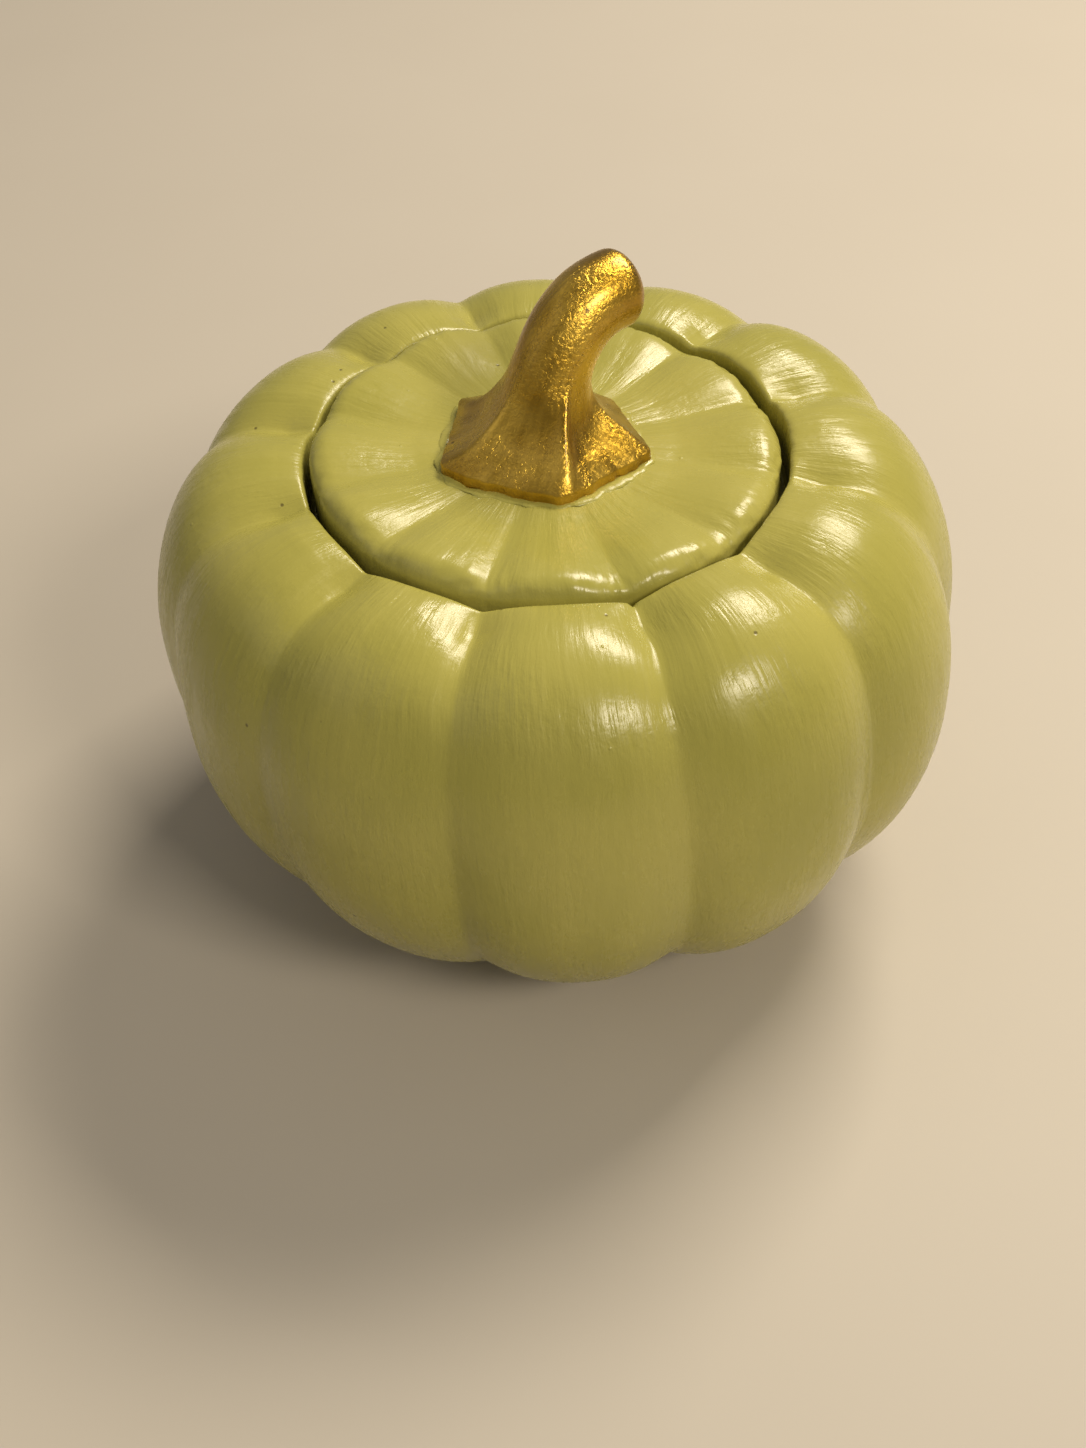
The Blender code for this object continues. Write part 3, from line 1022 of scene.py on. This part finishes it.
    def rings(self) -> list[list[Vector]]:
        """All rings, from the underside of the foot to the tip."""
        outline = self.outline()
        top = self.seat + self.edge_height
        soft = self.edge_softness
        lowest = self.seat - self.sunk, self.seat + self.side_start
        rings = [self.foot_ring(outline, 0, height) for height in lowest]
        for share in self.side_shares:
            height = lerp(self.seat, top - soft, share)
            rings.append(self.foot_ring(outline, soft * self.side_inset, height))
        rings.append(self.foot_ring(outline, soft * self.edge_inset, top - soft * self.edge_drop))
        start = self.edge_height / (self.curve[-1][2] - self.curve[0][2])
        for share in steps_between(start, 1, self.steps):
            centre, along = self.on_curve(share)
            near = max(1 - (centre.z - top) / self.flare_height, 0)
            thinning = max(1 - share / self.root_end, 0) ** 2
            radius = lerp(self.radius, self.root_radius, thinning)
            ring = self.ring(outline, centre, along, radius, near, share)
            rings.append([p + UP * self.lean * p.x * near**self.flare_power for p in ring])
        centre, along = self.on_curve(1)
        for angle in steps_between(0, 90, self.tip_steps):
            turn = math.radians(angle)
            radius = self.radius - self.tip_inset * (1 - math.cos(turn))
            tip = centre + along * self.tip_length * math.sin(turn)
            rings.append(self.ring(outline, tip, along, radius, 0, 1))
        return rings

    def build(self, paint: bpy.types.Material) -> bpy.types.Object:
        """The stem as a piece.

        Args:
            paint: Its paint.

        Returns:
            The piece, in place of its solid.
        """
        bm = bmesh.new()
        stroke = bm.verts.layers.float_vector.new(STROKE)
        rings = [[bm.verts.new(point) for point in ring] for ring in self.rings()]
        outline = self.outline()
        for ring in rings:
            middle = sum((vert.co for vert in ring), Vector()) / len(ring)
            for vert, foot in zip(ring, outline):
                vert[stroke] = flat_direction(foot.azimuth) * self.radius + UP * middle.z
        loops = [[bm.edges.new((ring[i - 1], ring[i])) for i in range(len(ring))] for ring in rings]
        for lower, upper in zip(loops, loops[1:]):
            bmesh.ops.bridge_loops(bm, edges=lower + upper)
        bm.faces.new(rings[0])
        bmesh.ops.poke(bm, faces=[bm.faces.new(rings[-1])])
        bmesh.ops.recalc_face_normals(bm, faces=bm.faces)
        bm.normal_update()
        moves = [
            vert.normal * noise.noise(vert.co / self.wave_size) * self.waviness for vert in bm.verts
        ]
        for vert, move in zip(bm.verts, moves):
            vert.co += move
        piece = finished(bm, "stem_body", paint)
        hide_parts("stem")
        return piece

    def build_bead(self, paint: bpy.types.Material) -> bpy.types.Object:
        """The thin, uneven bead of sage paint that the brush left round the foot.

        Args:
            paint: The lid's paint.

        Returns:
            The piece.
        """
        bm = bmesh.new()
        stroke = bm.verts.layers.float_vector.new(STROKE)
        outline = self.outline()
        loops = []
        for i, foot in enumerate(outline):
            out = flat_direction(foot.azimuth)
            reach = range(i - self.bead_rounding, i + self.bead_rounding + 1)
            radius = sum(outline[k % len(outline)].radius for k in reach) / len(reach)
            swing = self.bead_swing * noise.noise(out * self.bead_waves + Vector(self.bead_seed))
            thick = max(self.bead_radius * (self.bead_mean + swing), self.bead_least)
            base = self.foot_centre + out * (radius + self.bead_offset + self.ripple(foot.azimuth, radius))
            base.z = self.seat + self.lean * base.x - self.bead_sunk
            ring = []
            for k in range(self.bead_sides):
                turn = 2 * math.pi * k / self.bead_sides
                offset = out * math.cos(turn) * thick * self.bead_flatness + UP * math.sin(turn) * thick
                vert = bm.verts.new(base + offset)
                vert[stroke] = out * radius + UP * thick * turn
                ring.append(vert)
            loops.append(ring)
        rings = [[bm.edges.new((ring[i - 1], ring[i])) for i in range(len(ring))] for ring in loops]
        for first, second in zip(rings, rings[1:] + rings[:1]):
            bmesh.ops.bridge_loops(bm, edges=first + second)
        return finished(bm, "stem_paint_bead", paint)


@dataclass
class SoftBox:
    """A soft light that faces the jar."""

    name: str
    azimuth: float
    elevation: float
    distance: float
    width: float
    height: float
    power: float
    colour: tuple[float, float, float]

    def build(self, target: Vector) -> None:
        """Places the light.

        Args:
            target: The point that it faces.
        """
        data = bpy.data.lights.new(self.name, "AREA")
        data.shape = "RECTANGLE"
        data.size, data.size_y = self.width, self.height
        data.energy, data.color = self.power, self.colour
        light = bpy.data.objects.new(self.name, data)
        rise = math.radians(self.elevation)
        away = flat_direction(self.azimuth) * math.cos(rise) + Vector((0, 0, math.sin(rise)))
        light.location = target + away * self.distance
        light.rotation_mode = "QUATERNION"
        light.rotation_quaternion = away.to_track_quat("Z", "Y")
        bpy.context.scene.collection.objects.link(light)


WINDOW_LIGHT = (1.0, 0.90, 0.74)
FILL_LIGHT = (1.0, 0.94, 0.84)


@dataclass
class Studio:
    """The camera, the lights and the floor."""

    camera_place: Vector = field(default_factory=lambda: Vector((-0.004249, -0.171663, 0.186765)))
    camera_forward: Vector = field(default_factory=lambda: Vector((0.005284, 0.705420, -0.708769)))
    camera_up: Vector = field(default_factory=lambda: Vector((0.059602, 0.707297, 0.704399)))
    lens: float = 39.78
    sensor: float = 36.0
    clip: tuple[float, float] = (0.01, 20)
    floor_size: float = 3.0
    floor_cells: int = 4
    target: Vector = field(default_factory=lambda: Vector((0, 0, 50 * MM)))
    lights: tuple[SoftBox, ...] = (
        SoftBox(
            "back_window", azimuth=138, elevation=50, distance=0.9,
            width=0.42, height=0.26, power=8.2, colour=WINDOW_LIGHT,
        ),
        SoftBox(
            "front_window", azimuth=42, elevation=41, distance=0.9,
            width=0.26, height=0.2, power=3.9, colour=WINDOW_LIGHT,
        ),
        SoftBox(
            "side_fill", azimuth=-75, elevation=40, distance=1.2,
            width=0.9, height=0.9, power=1.0, colour=FILL_LIGHT,
        ),
    )
    sky: tuple[float, float, float, float] = (0.80, 0.76, 0.70, 1)
    sky_strength: float = 0.27

    def build(self) -> None:
        """Makes the camera, the lights, the sky and the floor."""
        data = bpy.data.cameras.new("camera")
        data.lens, data.sensor_width = self.lens, self.sensor
        data.clip_start, data.clip_end = self.clip
        camera = bpy.data.objects.new("camera", data)
        back = -self.camera_forward.normalized()
        right = self.camera_up.cross(back).normalized()
        up = back.cross(right)
        turn = Matrix((right, up, back)).transposed()
        camera.matrix_world = Matrix.Translation(self.camera_place) @ turn.to_4x4()
        bpy.context.scene.collection.objects.link(camera)
        bpy.context.scene.camera = camera
        for light in self.lights:
            light.build(self.target)
        world = bpy.data.worlds.new("studio")
        world.use_nodes = True
        background = world.node_tree.nodes["Background"]
        background.inputs["Color"].default_value = self.sky
        background.inputs["Strength"].default_value = self.sky_strength
        bpy.context.scene.world = world
        bpy.context.scene.view_settings.view_transform = "Standard"
        self.build_floor()

    def build_floor(self) -> None:
        """Lays the floor under the jar."""
        bm = bmesh.new()
        cells = self.floor_cells
        bmesh.ops.create_grid(bm, x_segments=cells, y_segments=cells, size=self.floor_size / 2)
        mesh = bpy.data.meshes.new("floor")
        bm.to_mesh(mesh)
        bm.free()
        mesh.materials.append(StudioFinish().build())
        floor = bpy.data.objects.new("floor", mesh)
        bpy.context.scene.collection.objects.link(floor)


def main() -> None:
    """Builds every piece and reports it."""
    logging.basicConfig(level=logging.INFO, format="%(message)s")
    sage, gold = SAGE.build(), GOLD.build()
    stem = CurvedStem()
    builders: list[Callable[[], bpy.types.Object]] = [
        lambda: JarBody().build(sage),
        lambda: DropInLid(Ribs(groove_softness=0.16)).build(sage),
        lambda: stem.build(gold),
        lambda: stem.build_bead(sage),
    ]
    for builder in builders:
        piece = builder()
        LOG.info("%s: %d faces", piece.name, len(piece.data.polygons))
    Studio().build()


if __name__ == "__main__":
    main()
